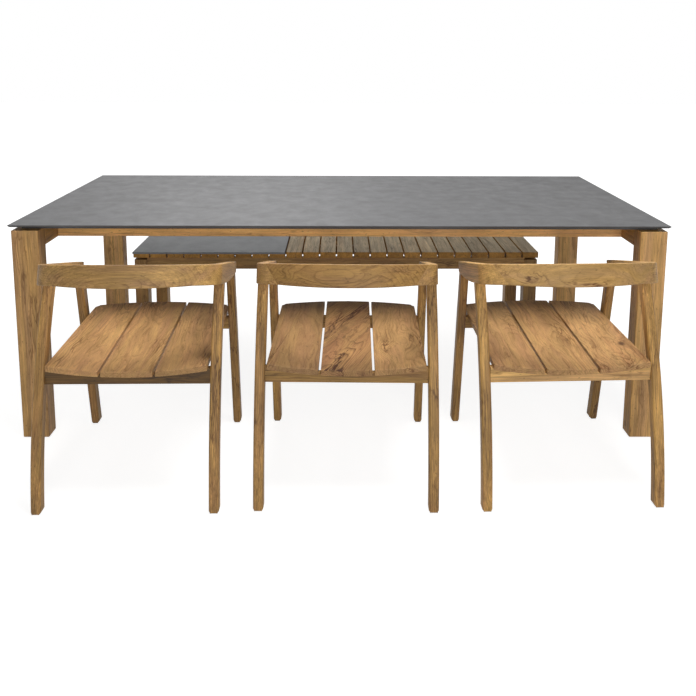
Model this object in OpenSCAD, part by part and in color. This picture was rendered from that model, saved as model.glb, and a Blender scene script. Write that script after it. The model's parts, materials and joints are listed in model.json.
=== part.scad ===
// Patio dining set: a teak table with a thin ceramic top, three armchairs and a slatted bench.
// Millimetres. +X runs along the table, +Y from the chairs towards the bench, +Z up.
// The origin is on the floor, under the middle of the whole set as it stands.

/* [Table] */
// Length of the ceramic top
top_len = 2200; // [2180:10:2400]
// Depth of the ceramic top
top_depth = 900; // [890:5:1000]
// Height of the table over all
table_h = 752; // [748:1:780]
// Thickness of the ceramic top
top_t = 8; // [7:0.5:12]
// Height of the bevel that thins the top's edge from below
top_bevel = 5; // [3:0.5:6]
// Thickness of the metal bars between the wood and the ceramic
bar_t = 11; // [8:0.5:14]
// Width of the metal bars
bar_w = 40; // [30:1:50]
// Distance of the metal bars from the edge of the top
bar_inset = 32; // [30:1:40]
// Width of a table leg along the table
table_leg_w = 89; // [80:1:92]
// Depth of a table leg across the table
table_leg_d = 58; // [54:1:70]
// Distance of the legs from the ends of the top
leg_end_inset = 10; // [6:1:14]
// Distance of the legs from the long edges of the top
leg_side_inset = 0; // [0:1:6]
// Height of the rails and aprons under the top
apron_h = 62; // [58:1:70]
// Thickness of the end aprons
apron_t = 30; // [26:1:34]
// Thickness of the long rails
long_rail_t = 28; // [24:1:32]
// Distance of the long rails from the long edges of the top
long_rail_setback = 160; // [140:5:180]

/* [Chair frame] */
// Width over the two side frames of a chair
chair_w = 540; // [538:1:550]
// Thickness of the wood of the back and the arms
stock_t = 28; // [27:0.5:29]
// Width of a rear leg
rear_leg_w = 30; // [28:0.5:32]
// Depth of a rear leg, square to its length
rear_leg_d = 32; // [30:1:36]
// Radius of the bend of a rear leg, at its rear face
rear_leg_r = 1830; // [1750:10:1900]
// Lean of a rear leg at the floor, in degrees
foot_lean = 4.2; // [3.6:0.1:4.6]
// Width of a front leg
front_leg_w = 27; // [26:0.5:30]
// Depth of a front leg, square to its length
front_leg_d = 36; // [32:1:38]
// Distance of a front leg's outer face from the arm's outer face
front_leg_inset = 3.5; // [2:0.5:5]
// Lean of the front legs towards the back, in degrees
front_lean = 9.4; // [9:0.1:9.8]
// Distance from the rear of the rear feet to the rear of the front feet
foot_span = 487; // [482:1:492]
// Thickness of the cross rails under the seat
cross_rail_t = 20; // [18:1:22]
// Height of the underside of the rear cross rail
rear_rail_z = 361; // [356:1:364]
// Height of the underside of the front cross rail
front_rail_z = 377; // [370:1:380]

/* [Chair back and arms] */
// Height of the top of the back at its middle
back_h = 731; // [728:1:734]
// Distance of the back's middle in front of the rear feet
back_y = 42; // [38:1:46]
// Slope of the back and arms down towards the front, in degrees
ring_tilt = 16.3; // [16:0.1:16.6]
// Depth of the arms at the rear, from top to underside
ring_depth = 60; // [58:1:63]
// How much deeper the back is at its middle
back_sag = 6; // [4:0.5:8]
// Radius of the back's rear face
back_r = 500; // [480:10:540]
// Radius of the outer corners between back and arms
corner_r = 70; // [64:1:76]
// Length of the arms from the rear of the back, along the slope
arm_reach = 402; // [400:1:408]
// Where the underside of an arm starts to rise
arm_taper_from = 185; // [180:1:190]
// Depth of an arm at its front end
arm_end_depth = 36; // [32:1:40]
// Half the width of the back piece at its upper edge, where the joint to the arm ends
scarf_top = 238; // [230:1:238]
// Half the width of the back piece at its lower edge
scarf_bottom = 198; // [190:1:204]

/* [Chair seat] */
// Width of the seat over its three boards
seat_w = 466; // [462:1:470]
// Length of the seat along its slope, in the middle
seat_len = 467; // [460:1:472]
// Distance of the seat's rear edge in front of the rear feet
seat_y = 63; // [60:1:66]
// Height of the seat's upper face at its rear corners
seat_h = 423; // [421:1:428]
// Slope of the seat up towards the front, in degrees
seat_rise = 1.8; // [1.6:0.1:2]
// Thickness of a seat board
board_t = 17; // [15:0.5:18]
// Gap between two seat boards
board_gap = 7.5; // [6:0.5:9]
// Depth of the hollow across the seat, at its rear edge
seat_dish = 20; // [16:0.5:21]
// How far the front edge bows forward
front_bow = 30; // [24:1:34]
// Size of the cut at the seat's front corners
corner_cut = 12; // [8:1:16]

/* [Bench] */
// Length of the bench over its slats
bench_len = 1778; // [1760:1:1790]
// Depth of the bench
bench_depth = 385; // [376:1:396]
// Height of the bench
bench_h = 449; // [445:1:455]
// Number of slats
slat_count = 24; // [24:1:24]
// Number of slats under the ceramic panel
panel_slats = 9; // [9:1:9]
// Gap between two slats
slat_gap = 6; // [5:0.5:8]
// Thickness of an open slat
slat_t = 26; // [24:0.5:28]
// Thickness of the ceramic panel
panel_t = 8; // [6:0.5:9]
// How far the panel overhangs the slats
panel_over = 3; // [1:0.5:4]
// Width of a bench leg, both ways
bench_leg_w = 56; // [52:1:60]
// Gap between a bench leg's top and the slat over it
bench_leg_gap = 9; // [7:1:12]
// Height of a bench rail
bench_rail_h = 52; // [46:1:56]
// Thickness of a bench rail
bench_rail_t = 24; // [20:1:28]
// Height of the bench's middle rail, under the slats
bench_mid_rail_h = 40; // [30:1:50]
// Distance of the bench legs' faces from the slats' ends
bench_leg_inset = 3; // [2:1:6]
// Distance of the bench rails' outer faces behind the legs' faces
bench_rail_inset = 2; // [1:0.5:5]

/* [Arrangement] */
// Share of the free width between the table's legs that lies left of the left chair
left_room = 0.298; // [0.25:0.002:0.31]
// Share of the free width that lies left of the middle chair
middle_room = 0.55; // [0.52:0.002:0.58]
// Share of the free width that lies right of the right chair
right_room = 0.119; // [0.1:0.001:0.15]
// Distance of the left chair's rear feet from the table's middle
left_y = 843; // [820:1:850]
// Distance of the middle chair's rear feet from the table's middle
middle_y = 834; // [826:1:850]
// Distance of the right chair's rear feet from the table's middle
right_y = 824.5; // [820:0.5:836]
// Turn of the left chair seen from above, in degrees
left_turn = 0.65; // [0:0.05:1.5]
// Turn of the middle chair
middle_turn = -0.9; // [-1.5:0.05:0]
// Turn of the right chair
right_turn = 2; // [0:0.1:2.2]
// Sideways place of the bench
bench_x = -21; // [-30:1:-10]
// Distance of the bench's near edge from the table's middle
bench_y = 250; // [240:1:260]
// Turn of the bench
bench_turn = 0.25; // [0:0.05:0.5]

/* [Small parts] */
// Height of a glide under a table or bench leg
glide_h = 4; // [3:0.5:5]
// Height of a glide under a chair's foot
chair_glide_h = 3; // [2:0.5:4]
// Diameter of a chair glide
chair_glide_d = 17; // [14:1:17]
// Diameter of a table or bench glide
table_glide_d = 40; // [34:1:46]
// Play between a tenon and its mortise
fit = 0.2; // [0.1:0.05:0.3]
// Cut at the edges of a chair's foot
foot_cut = 5; // [5:0.5:6]
// Cut along the edges of a chair's legs
leg_edge_cut = 4; // [2:0.5:5]
// Cut along the long edges of a table or bench leg
edge_cut = 2.5; // [1.5:0.5:4]
// Diameter of a seat screw
screw_d = 4.5; // [4:0.5:5]
// Diameter of a seat screw's head
screw_head_d = 9; // [8:0.5:10]
// Height of a seat screw's head
screw_head_h = 3; // [2:0.5:4]
// How far a seat screw's head is sunk into a cross rail
screw_recess = 12; // [10:1:14]
// How far a seat screw reaches into a board
screw_bite = 9; // [7:0.5:11]

/* [Hidden] */
$fn = 96;
FINE = 240;                 // facets of the large arcs
HUGE = 3000;                // larger than any piece
POKE = 1;                   // how far a cutter runs past a face
SIDES = [-1, 1];

CHAIR_PARTS = ["back", "left_arm", "right_arm", "left_rear_leg", "right_rear_leg", "left_front_leg",
    "right_front_leg", "rear_rail", "front_rail", "left_board", "middle_board", "right_board",
    "glides", "screws"];
TABLE_PARTS = ["table_top", "top_long_bars", "top_cross_bars", "table_leg_near_left",
    "table_leg_near_right", "table_leg_far_left", "table_leg_far_right", "end_apron_left",
    "end_apron_right", "long_rail_near", "long_rail_far", "table_glides"];
BENCH_PARTS = ["bench_slats", "bench_panel", "bench_rails", "bench_legs", "bench_glides"];
CHAIR_NAMES = ["left_chair", "middle_chair", "right_chair"];

// Colours
TEAK = "#b08d5c";
TEAK_SEAT = "#b58a5f";
TEAK_BENCH = "#8a7560";
CERAMIC = "#7b7978";
DARK_METAL = "#2b2a29";
STEEL = "#9a9a98";
PLASTIC = "#1d1c1b";

// Levels of the table, from the top down
top_under = table_h - top_t;
wood_top = top_under - bar_t;
apron_z = wood_top - apron_h;

// Faces of the table's legs and long rails, measured from its middle
table_leg_x = top_len / 2 - leg_end_inset - table_leg_w / 2;
table_leg_y = top_depth / 2 - leg_side_inset - table_leg_d / 2;
leg_in_x = table_leg_x - table_leg_w / 2;
leg_in_y = table_leg_y - table_leg_d / 2;
long_rail_y = top_depth / 2 - long_rail_setback - long_rail_t / 2;

// Length, thickness and height of the tenons of the table's aprons and long rails
apron_tenon = [26, 12, 44];
long_rail_tenon = [12, 12, 44];
cross_bar_count = 4;

// Middles of a chair's legs, and their inner faces
rear_x = chair_w / 2 - rear_leg_w / 2;
rear_in_x = rear_x - rear_leg_w / 2;
front_x = chair_w / 2 - front_leg_inset - front_leg_w / 2;
front_in_x = front_x - front_leg_w / 2;
// Middle of the circle that rounds a corner of back and arms
corner_x = chair_w / 2 - corner_r;
corner_y = back_r - sqrt(pow(back_r - corner_r, 2) - pow(corner_x, 2));
// Radius of an arc with the given rise over half its chord
function arc_radius(half, rise) = (half * half + rise * rise) / (2 * rise);
// The underside of the back sags along one arc, that of each arm rises along another
sag_r = arc_radius(scarf_bottom, back_sag);
taper_r = arc_radius(arm_reach - arm_taper_from, ring_depth - arm_end_depth);
// How far the joint between back and arm leans outwards for each millimetre up
scarf_lean = (scarf_top - scarf_bottom) / ring_depth;
// Play at curved faces: over the front legs and under the hollow of the seat
curve_gap = 0.3;

// The hollow of the seat is part of a cylinder that meets the seat's plane at the front
dish_r = arc_radius(seat_w / 2, seat_dish);
dish_slope = atan(seat_dish / seat_len);
bow_r = arc_radius(seat_w / 2, front_bow);
board_w = (seat_w - 2 * board_gap) / 3;
board_pitch = board_w + board_gap;

// The rear legs bend round a line at this place, seen from the side
bend_y = rear_leg_r * cos(foot_lean);
bend_z = -rear_leg_r * sin(foot_lean);
// Distance of a rear leg's rear face in front of its foot, at a height
function leg_rear_y(height) = bend_y - sqrt(pow(rear_leg_r, 2) - pow(height - bend_z, 2));

// Rear faces of the cross rails, each a little in front of the legs' rear faces at their undersides
rear_rail_step = 13;
front_rail_step = 8;
rear_rail_y = leg_rear_y(rear_rail_z) + rear_rail_step;
front_rail_y = foot_span - front_rail_z * tan(front_lean) + front_rail_step;
// Length, thickness and height of their tenons, and the shoulder below them
cross_tenon = [20, 12, 28];
cross_shoulder = 7;

// Diameters of the round tenons at the tops of the legs, and the wood left above them
rear_peg_d = 16;
front_peg_d = 14;
rear_peg_cover = 30;
front_peg_cover = 20;

// Places of the screws along a cross rail, two to each board
SCREW_X = [for (p = [-1 : 1]) for (s = SIDES) p * board_pitch + s * board_w / 4];

// Levels and places of the bench's parts, measured from its middle
slat_under = bench_h - slat_t;
bench_leg_top = slat_under - bench_leg_gap;
bench_rail_z = slat_under - bench_rail_h;
slat_pitch = (bench_len + slat_gap) / slat_count;
slat_w = slat_pitch - slat_gap;
bench_leg_x = bench_len / 2 - bench_leg_inset - bench_leg_w / 2;
bench_leg_y = bench_depth / 2 - bench_leg_inset - bench_leg_w / 2;
rail_offset = bench_leg_w / 2 - bench_rail_inset - bench_rail_t / 2;
bench_tenon = [22, 12, 26];

// The chairs stand between the table's legs and share out the width that they leave free
free_width = 2 * leg_in_x - 3 * chair_w;
left_x = (chair_w - 2 * leg_in_x) / 2 + left_room * free_width;
middle_x = (3 * chair_w - 2 * leg_in_x) / 2 + middle_room * free_width;
right_x = (2 * leg_in_x - chair_w) / 2 - right_room * free_width;

// The chairs' places and turns, and how far the set reaches each way from the table's middle
CHAIRS = [[left_x, left_y, left_turn], [middle_x, middle_y, middle_turn],
    [right_x, right_y, right_turn]];
foot_edge_x = chair_w / 2 - foot_cut;
foot_edge_y = leg_rear_y(chair_glide_h);
near_reach = max([for (c = CHAIRS) c[1] + foot_edge_x * sin(abs(c[2])) - foot_edge_y * cos(c[2])]);
far_reach = bench_y + bench_depth / 2 * (1 + cos(bench_turn)) + bench_len / 2 * sin(bench_turn);
table_y = (near_reach - far_reach) / 2;

// ---------------------------------------------------------------- helpers

// A block centred on X and Y, standing on z
module block(size, z = 0) {
    translate([-size[0] / 2, -size[1] / 2, z])
        cube(size);
}

// The section of a post with a small flat, c wide each way, along each of its four edges
module post_section(w, d, c) {
    x = w / 2;
    y = d / 2;
    polygon([[x - c, -y], [x, c - y], [x, y - c], [x - c, y],
        [c - x, y], [-x, y - c], [-x, c - y], [c - x, -y]]);
}

// A square post of the table or the bench, standing on z
module post(w, d, h, z) {
    translate([0, 0, z])
        linear_extrude(h)
            post_section(w, d, edge_cut);
}

// A square tenon along X from x = 0; grow turns it into its mortise
module tenon(size, grow = 0) {
    translate([-POKE, -size[1] / 2 - grow, -size[2] / 2 - grow])
        cube([size[0] + POKE + grow, size[1] + 2 * grow, size[2] + 2 * grow]);
}

// The whole table, and the floor plan that the chairs and the bench stand on
module at_table() {
    translate([0, table_y, 0])
        children();
}

// One of the three chairs, at its place and turn
module at_chair(number) {
    c = CHAIRS[number];
    at_table()
        translate([c[0], -c[1], 0])
            rotate(c[2])
                children();
}

module at_bench() {
    at_table()
        translate([bench_x, bench_y + bench_depth / 2, 0])
            rotate(bench_turn)
                children();
}

// ---------------------------------------------------------------- table

module table_top() {
    color(CERAMIC)
        difference() {
            block([top_len, top_depth, top_t], top_under);
            for (side = SIDES) {
                top_edge_cut(top_len, side * top_depth / 2, side);
                rotate(90)
                    top_edge_cut(top_depth, side * top_len / 2, side);
            }
        }
}

// The wedge that thins the lower edge of the top, along X at the given y
module top_edge_cut(length, y, side) {
    rotate([90, 0, 90])
        translate([0, 0, -length / 2 - POKE])
            linear_extrude(length + 2 * POKE)
                polygon([[y + side * POKE, top_under - POKE],
                    [y - side * (top_bevel + POKE), top_under - POKE],
                    [y + side * POKE, top_under + top_bevel + POKE]]);
}

module top_long_bars() {
    color(DARK_METAL)
        for (side = SIDES)
            translate([0, side * (top_depth / 2 - bar_inset - bar_w / 2), 0])
                block([top_len - 2 * bar_inset, bar_w, bar_t], wood_top);
}

module top_cross_bars() {
    reach = top_len / 2 - bar_inset - bar_w / 2;
    color(DARK_METAL)
        for (i = [0 : cross_bar_count - 1])
            translate([(2 * i / (cross_bar_count - 1) - 1) * reach, 0, 0])
                block([bar_w, top_depth - 2 * bar_inset - 2 * bar_w, bar_t], wood_top);
}

// A leg of the table: side is -1 or 1 along X, row is -1 at the chairs and 1 at the bench
module table_leg(side, row) {
    color(TEAK)
        difference() {
            translate([side * table_leg_x, row * table_leg_y, 0])
                post(table_leg_w, table_leg_d, wood_top - glide_h, glide_h);
            apron_tenons(side, fit);
        }
}

// The tenons at both ends of an end apron
module apron_tenons(side, grow = 0) {
    for (row = SIDES)
        translate([side * (leg_in_x + apron_t / 2), row * leg_in_y, apron_z + apron_h / 2])
            rotate(row * 90)
                tenon(apron_tenon, grow);
}

module end_apron(side) {
    color(TEAK)
        difference() {
            union() {
                translate([side * (leg_in_x + apron_t / 2), 0, 0])
                    block([apron_t, 2 * leg_in_y, apron_h], apron_z);
                apron_tenons(side);
            }
            for (row = SIDES)
                long_rail_tenons(row, fit);
        }
}

// The tenons at both ends of a long rail
module long_rail_tenons(row, grow = 0) {
    for (side = SIDES)
        translate([side * leg_in_x, row * long_rail_y, apron_z + apron_h / 2])
            rotate(side * 90 - 90)
                tenon(long_rail_tenon, grow);
}

module long_rail(row) {
    color(TEAK)
        union() {
            translate([0, row * long_rail_y, 0])
                block([2 * leg_in_x, long_rail_t, apron_h], apron_z);
            long_rail_tenons(row);
        }
}

module table_glides() {
    color(PLASTIC)
        for (side = SIDES)
            for (row = SIDES)
                translate([side * table_leg_x, row * table_leg_y, 0])
                    cylinder(d = table_glide_d, h = glide_h);
}

// ---------------------------------------------------------------- chair
// Drawn about its own origin: on the floor, midway between the rear faces of the rear feet.

// The frame of back and arms: x across, y forward down the slope, z square to it, 0 on top
module on_ring() {
    translate([0, back_y, back_h])
        rotate([-ring_tilt, 0, 0])
            children();
}

// The frame of the seat: y forward up its slope, z = 0 on its upper plane
module on_seat() {
    translate([0, seat_y, seat_h])
        rotate([seat_rise, 0, 0])
            children();
}

// Outline of back and arms together, set in all round: an arc, two corners and two arms
module ring_outline(inset) {
    w = chair_w / 2 - inset;
    wedge_x = corner_x * back_r / (back_r - corner_y);
    intersection() {
        translate([0, back_r])
            circle(back_r - inset, $fn = FINE);
        polygon([[0, back_r], [-wedge_x, 0], [-wedge_x, -POKE], [wedge_x, -POKE], [wedge_x, 0]]);
    }
    for (side = SIDES)
        translate([side * corner_x, corner_y])
            circle(corner_r - inset);
    translate([-w, corner_y])
        square([2 * w, arm_reach - corner_y + inset]);
}

// Back and arms as one bent bar, before the joints part it
module ring_bar(depth) {
    translate([0, 0, -depth])
        linear_extrude(depth)
            intersection() {
                difference() {
                    ring_outline(0);
                    ring_outline(stock_t);
                }
                translate([-chair_w, -POKE])
                    square([2 * chair_w, arm_reach + POKE]);
            }
}

// The prism between the two sloping joints: the back lies inside it, the arms outside
module scarf_prism() {
    low = ring_depth + 2 * back_sag;
    half_top = scarf_top + scarf_lean * POKE;
    half_low = scarf_top - scarf_lean * low;
    rotate([90, 0, 0])
        translate([0, 0, -arm_taper_from])
            linear_extrude(arm_taper_from + 2 * POKE)
                polygon([[-half_top, POKE], [-half_low, -low], [half_low, -low], [half_top, POKE]]);
}

module chair_back() {
    color(TEAK)
        on_ring()
            intersection() {
                ring_bar(ring_depth + back_sag);
                scarf_prism();
                translate([0, 0, sag_r - ring_depth - back_sag])
                    rotate([90, 0, 0])
                        cylinder(r = sag_r, h = 2 * arm_reach, center = true, $fn = FINE);
            }
}

// All that lies above the level underside at the rear of the arms
module above_arm_rear() {
    translate([-chair_w, -arm_reach, -ring_depth])
        cube([2 * chair_w, arm_reach + arm_taper_from, HUGE]);
}

// All that lies above the rising underside of the arms; gap widens it downwards
module above_arm_curve(gap = 0) {
    intersection() {
        translate([0, arm_taper_from, taper_r - ring_depth])
            rotate([0, 90, 0])
                cylinder(r = taper_r + gap, h = 2 * chair_w, center = true, $fn = FINE);
        translate([-chair_w, arm_taper_from, -2 * ring_depth])
            cube([2 * chair_w, arm_reach, HUGE]);
    }
}

// The half of the back and arms on one side
module arm_blank(side) {
    intersection() {
        ring_bar(ring_depth);
        translate([side * chair_w / 2, 0, 0])
            block([chair_w, HUGE, HUGE], -HUGE / 2);
        union() {
            above_arm_rear();
            above_arm_curve();
        }
    }
}

module chair_arm(side) {
    color(TEAK)
        difference() {
            on_ring()
                difference() {
                    arm_blank(side);
                    scarf_prism();
                }
            rear_leg_peg(side, fit);
            front_leg_peg(side, fit);
        }
}

// Height of a place over the plane of the ring's upper edges, square to that plane
function over_ring(y, z) = (y - back_y) * sin(ring_tilt) + (z - back_h) * cos(ring_tilt);

// How far round its bend the middle of a rear leg meets the underside of the arms, and how
// far up its own line a front leg's middle comes as deep under the arms' upper edges as its cover
rear_mid_r = rear_leg_r - rear_leg_d / 2;
rear_peg_angle = ring_tilt + asin((-ring_depth - over_ring(bend_y, bend_z)) / rear_mid_r);
front_peg_top = (-front_peg_cover - over_ring(foot_span, 0)
    - front_leg_d / 2 * sin(ring_tilt + front_lean)) / cos(ring_tilt + front_lean);

// The frame of a leaning front leg: z along the leg, y = 0 on its rear face
module on_front_leg(side) {
    translate([side * front_x, foot_span, 0])
        rotate([front_lean, 0, 0])
            children();
}

// The round tenon at the top of a rear leg
module rear_leg_peg(side, grow = 0) {
    height = (ring_depth - rear_peg_cover) / cos(rear_peg_angle - ring_tilt);
    translate([side * rear_x, bend_y, bend_z])
        rotate([-rear_peg_angle, 0, 0])
            translate([0, -rear_mid_r, -2 * rear_peg_d])
                cylinder(d = rear_peg_d + 2 * grow, h = 2 * rear_peg_d + height + grow);
}

// The round tenon at the top of a front leg
module front_leg_peg(side, grow = 0) {
    on_front_leg(side)
        translate([0, front_leg_d / 2, front_peg_top - 4 * front_peg_d])
            cylinder(d = front_peg_d + 2 * grow, h = 4 * front_peg_d + grow);
}

// All that lies above a chair's glides, with both sides of a foot cut back at its bottom
module foot_prism(x, w) {
    half = w / 2;
    translate([x, HUGE / 2, chair_glide_h])
        rotate([90, 0, 0])
            linear_extrude(HUGE)
                polygon([[foot_cut - half, 0], [half - foot_cut, 0], [half, foot_cut],
                    [half, HUGE], [-half, HUGE], [-half, foot_cut]]);
}

// All that lies above the underside of the arms; gap widens it where that underside bends
module above_arms(gap = 0) {
    on_ring() {
        above_arm_rear();
        above_arm_curve(gap);
    }
}

// A rear leg up to the underside of its arm: part of a ring whose axis runs across the chair
module rear_leg_bar(side) {
    difference() {
        intersection() {
            translate([side * rear_x, bend_y, bend_z])
                rotate([0, 90, 0])
                    rotate_extrude($fn = FINE)
                        translate([rear_mid_r, 0])
                            post_section(rear_leg_d, rear_leg_w, leg_edge_cut);
            foot_prism(side * rear_x, rear_leg_w);
            translate([side * rear_x, 0, 0])
                block([2 * rear_leg_w, 2 * foot_span, back_h]);
        }
        above_arms();
    }
}

// A front leg up to the underside of its arm
module front_leg_bar(side) {
    difference() {
        intersection() {
            on_front_leg(side)
                translate([0, front_leg_d / 2, -front_leg_d])
                    linear_extrude(back_h)
                        post_section(front_leg_w, front_leg_d, leg_edge_cut);
            foot_prism(side * front_x, front_leg_w);
        }
        above_arms(curve_gap);
    }
}

module rear_leg(side) {
    color(TEAK)
        difference() {
            union() {
                rear_leg_bar(side);
                rear_leg_peg(side);
            }
            cross_tenons(rear_in_x, rear_rail_y, rear_rail_z, fit);
        }
}

module front_leg(side) {
    color(TEAK)
        difference() {
            union() {
                front_leg_bar(side);
                front_leg_peg(side);
            }
            cross_tenons(front_in_x, front_rail_y, front_rail_z, fit);
        }
}

// The tenons at both ends of a cross rail
module cross_tenons(x, y, z, grow = 0) {
    for (side = SIDES)
        translate([side * x, y + cross_rail_t / 2, z + cross_shoulder + cross_tenon[2] / 2])
            rotate(side * 90 - 90)
                tenon(cross_tenon, grow);
}

// The round hollow of the seat, in the seat's frame; more makes it larger all round
module seat_hollow(more = 0) {
    translate([0, 0, -seat_dish])
        rotate([dish_slope, 0, 0])
            translate([0, 0, dish_r])
                rotate([90, 0, 0])
                    cylinder(r = dish_r + more, h = 4 * seat_len, center = true, $fn = FINE);
}

// All that lies under the seat's boards
module under_seat() {
    on_seat()
        difference() {
            block([HUGE, HUGE, HUGE], -HUGE - board_t);
            seat_hollow(board_t + curve_gap);
        }
}

// Height of the boards' underside at a place of the seat
function board_under(x, y) = seat_h + (y - seat_y) * tan(seat_rise) - board_t
    - max(0, seat_dish * (1 - (y - seat_y) / seat_len) - x * x / (2 * dish_r));

// The screws that come up through a cross rail into the boards; recess lengthens their heads
module rail_screws(y, z, grow = 0, recess = 0) {
    middle_y = y + cross_rail_t / 2;
    head_z = z + screw_recess;
    for (x = SCREW_X)
        translate([x, middle_y, head_z]) {
            cylinder(d = screw_d + 2 * grow,
                h = board_under(x, middle_y) + screw_bite + grow - head_z);
            translate([0, 0, -screw_head_h - recess])
                cylinder(d = screw_head_d + 2 * grow, h = screw_head_h + recess + grow);
        }
}

module chair_screws() {
    color(STEEL) {
        rail_screws(rear_rail_y, rear_rail_z);
        rail_screws(front_rail_y, front_rail_z);
    }
}

// A cross rail between the side frames, its upper edge hollowed to carry the boards
module cross_rail(x, y, z) {
    color(TEAK)
        difference() {
            union() {
                intersection() {
                    translate([0, y + cross_rail_t / 2, 0])
                        block([2 * x, cross_rail_t, seat_h], z);
                    under_seat();
                }
                cross_tenons(x, y, z);
            }
            rail_screws(y, z, fit, screw_recess);
        }
}

module rear_cross_rail() {
    cross_rail(rear_in_x, rear_rail_y, rear_rail_z);
}

module front_cross_rail() {
    cross_rail(front_in_x, front_rail_y, front_rail_z);
}

// The seat before it is parted into boards
module seat_blank() {
    difference() {
        union() {
            translate([0, seat_len / 2, 0])
                block([seat_w, seat_len, board_t], -board_t);
            intersection() {
                translate([0, seat_len / 2, 0])
                    block([seat_w, seat_len, board_t + seat_dish], -board_t - seat_dish);
                seat_hollow(board_t);
            }
        }
        seat_hollow();
        seat_front_cut();
    }
}

// What is cut away in front of the bowed front edge and at its corners
module seat_front_cut() {
    difference() {
        translate([0, seat_len, 0])
            block([2 * seat_w, seat_len, seat_len], -seat_len / 2);
        translate([0, seat_len - bow_r, -seat_len])
            cylinder(r = bow_r, h = 2 * seat_len, $fn = FINE);
    }
    for (side = SIDES)
        translate([side * seat_w / 2, seat_len - front_bow, 0])
            rotate(45)
                block([corner_cut * sqrt(2), corner_cut * sqrt(2), seat_len], -seat_len / 2);
}

// One of the three boards: place is -1, 0 or 1
module seat_board(place) {
    color(TEAK_SEAT)
        difference() {
            on_seat()
                intersection() {
                    seat_blank();
                    translate([place * board_pitch, 0, 0])
                        block([board_w, HUGE, HUGE], -HUGE / 2);
                }
            rail_screws(rear_rail_y, rear_rail_z, fit);
            rail_screws(front_rail_y, front_rail_z, fit);
        }
}

module chair_glides() {
    color(PLASTIC)
        for (side = SIDES)
            for (at = [[rear_x, rear_leg_d / 2], [front_x, foot_span + front_leg_d / 2]])
                translate([side * at[0], at[1], 0])
                    cylinder(d = chair_glide_d, h = chair_glide_h);
}

// ---------------------------------------------------------------- bench
// Drawn about its own origin: on the floor under its middle.

module bench_slats() {
    color(TEAK_BENCH)
        for (i = [0 : slat_count - 1])
            translate([(i + 0.5) * slat_pitch - (bench_len + slat_gap) / 2, 0, 0])
                block([slat_w, bench_depth, slat_t - (i < panel_slats ? panel_t : 0)], slat_under);
}

module bench_panel() {
    length = panel_over + panel_slats * slat_pitch - slat_gap;
    color(CERAMIC)
        translate([length / 2 - panel_over - bench_len / 2, 0, 0])
            block([length, bench_depth + 2 * panel_over, panel_t], bench_h - panel_t);
}

// The tenons of the long rails and of the shorter end rails, two in each leg
module bench_tenons(grow = 0) {
    z = (bench_rail_z + bench_leg_top) / 2;
    face = bench_leg_w / 2;
    for (side = SIDES)
        for (row = SIDES) {
            translate([side * (bench_leg_x - face), row * (bench_leg_y + rail_offset), z])
                rotate(side * 90 - 90)
                    tenon(bench_tenon, grow);
            translate([side * (bench_leg_x + rail_offset), row * (bench_leg_y - face), z])
                rotate(row * 90)
                    tenon(bench_tenon, grow);
        }
}

// Two long rails and two end rails between the legs, and a middle rail between the end rails
module bench_rails() {
    color(TEAK_BENCH)
        union() {
            for (side = SIDES) {
                translate([0, side * (bench_leg_y + rail_offset), 0])
                    block([2 * bench_leg_x - bench_leg_w, bench_rail_t, bench_rail_h], bench_rail_z);
                translate([side * (bench_leg_x + rail_offset), 0, 0])
                    block([bench_rail_t, 2 * bench_leg_y - bench_leg_w, bench_rail_h], bench_rail_z);
            }
            block([2 * (bench_leg_x + rail_offset) - bench_rail_t, bench_rail_t, bench_mid_rail_h],
                slat_under - bench_mid_rail_h);
            bench_tenons();
        }
}

module bench_legs() {
    color(TEAK_BENCH)
        difference() {
            for (side = SIDES)
                for (row = SIDES)
                    translate([side * bench_leg_x, row * bench_leg_y, 0])
                        post(bench_leg_w, bench_leg_w, bench_leg_top - glide_h, glide_h);
            bench_tenons(fit);
        }
}

module bench_glides() {
    color(PLASTIC)
        for (side = SIDES)
            for (row = SIDES)
                translate([side * bench_leg_x, row * bench_leg_y, 0])
                    cylinder(d = table_glide_d, h = glide_h);
}

// ---------------------------------------------------------------- the whole set

at_table() table_top();
at_table() top_long_bars();
at_table() top_cross_bars();
at_table() table_leg(-1, -1);  // table_leg_near_left
at_table() table_leg(1, -1);  // table_leg_near_right
at_table() table_leg(-1, 1);  // table_leg_far_left
at_table() table_leg(1, 1);  // table_leg_far_right
at_table() end_apron(-1);  // end_apron_left
at_table() end_apron(1);  // end_apron_right
at_table() long_rail(-1);  // long_rail_near
at_table() long_rail(1);  // long_rail_far
at_table() table_glides();
at_chair(0) chair_back();  // left_chair_back
at_chair(0) chair_arm(-1);  // left_chair_left_arm
at_chair(0) chair_arm(1);  // left_chair_right_arm
at_chair(0) rear_leg(-1);  // left_chair_left_rear_leg
at_chair(0) rear_leg(1);  // left_chair_right_rear_leg
at_chair(0) front_leg(-1);  // left_chair_left_front_leg
at_chair(0) front_leg(1);  // left_chair_right_front_leg
at_chair(0) rear_cross_rail();  // left_chair_rear_rail
at_chair(0) front_cross_rail();  // left_chair_front_rail
at_chair(0) seat_board(-1);  // left_chair_left_board
at_chair(0) seat_board(0);  // left_chair_middle_board
at_chair(0) seat_board(1);  // left_chair_right_board
at_chair(0) chair_glides();  // left_chair_glides
at_chair(0) chair_screws();  // left_chair_screws
at_chair(1) chair_back();  // middle_chair_back
at_chair(1) chair_arm(-1);  // middle_chair_left_arm
at_chair(1) chair_arm(1);  // middle_chair_right_arm
at_chair(1) rear_leg(-1);  // middle_chair_left_rear_leg
at_chair(1) rear_leg(1);  // middle_chair_right_rear_leg
at_chair(1) front_leg(-1);  // middle_chair_left_front_leg
at_chair(1) front_leg(1);  // middle_chair_right_front_leg
at_chair(1) rear_cross_rail();  // middle_chair_rear_rail
at_chair(1) front_cross_rail();  // middle_chair_front_rail
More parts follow.
